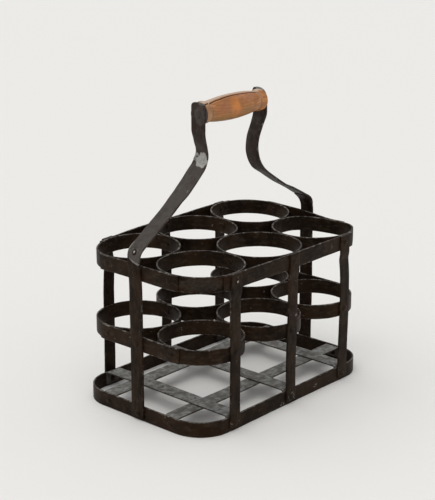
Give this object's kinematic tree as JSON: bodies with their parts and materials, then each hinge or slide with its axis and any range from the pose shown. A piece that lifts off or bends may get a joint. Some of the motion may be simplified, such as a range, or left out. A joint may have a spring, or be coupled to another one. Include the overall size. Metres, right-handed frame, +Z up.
{
  "type": "bottle caddy",
  "caption": "Riveted flat-iron bottle carrier with tiers of round holders over an open strip base, side uprights and a bent strap handle with a turned wooden grip.",
  "frame": {"origin": "on the floor below the middle of the base band", "axes": "+X along the length and the grip, +Y from the front long side to the back one, +Z up"},
  "size_m": [0.315, 0.2118, 0.3576],
  "materials": {
    "frame_iron": "worn satin black paint",
    "handle_iron": "rubbed black paint with grey iron showing",
    "base_iron": "worn grey-black paint with dust",
    "rivet_iron": "worn black paint, domes rubbed bare",
    "disc_iron": "dark worn iron",
    "grip_wood": "old waxed hardwood with a drying crack"
  },
  "bodies": {
    "carrier": {"upper_ring_near_front": "frame_iron", "upper_ring_near_back": "frame_iron", "upper_ring_middle_front": "frame_iron", "upper_ring_middle_back": "frame_iron", "upper_ring_far_front": "frame_iron", "upper_ring_far_back": "frame_iron", "middle_ring_near_front": "frame_iron", "middle_ring_near_back": "frame_iron", "middle_ring_middle_front": "frame_iron", "middle_ring_middle_back": "frame_iron", "middle_ring_far_front": "frame_iron", "middle_ring_far_back": "frame_iron", "upper_side_strap_front": "frame_iron", "upper_side_strap_back": "frame_iron", "upper_end_strap_near": "frame_iron", "upper_end_strap_far": "frame_iron", "middle_end_strap_near": "frame_iron", "middle_end_strap_far": "frame_iron", "side_upright_near_front": "frame_iron", "side_upright_near_back": "frame_iron", "side_upright_middle_front": "frame_iron", "side_upright_middle_back": "frame_iron", "side_upright_far_front": "frame_iron", "side_upright_far_back": "frame_iron", "end_upright_near": "frame_iron", "end_upright_far": "frame_iron", "base_band": "frame_iron", "base_long_strip_front": "base_iron", "base_long_strip_back": "base_iron", "base_cross_strip_near": "base_iron", "base_cross_strip_middle": "base_iron", "base_cross_strip_far": "base_iron", "handle_strap_near": "handle_iron", "handle_strap_far": "handle_iron", "upper_side_rivets": "rivet_iron", "middle_side_rivets": "rivet_iron", "base_side_rivets": "rivet_iron", "end_upright_rivets": "rivet_iron", "end_strap_rivets": "rivet_iron", "base_strip_rivets": "rivet_iron", "handle_lap_rivets": "rivet_iron", "ring_link_rivets": "rivet_iron", "grip_rod": "rivet_iron", "grip_discs": "disc_iron"},
    "grip": {"grip": "grip_wood"}
  },
  "joints": [
    {"name": "grip_turn", "type": "hinge", "parent": "carrier", "child": "grip", "pos_m": [0.0042, 0, 0.34238], "axis": [1, 0, 0], "continuous": true}
  ]
}
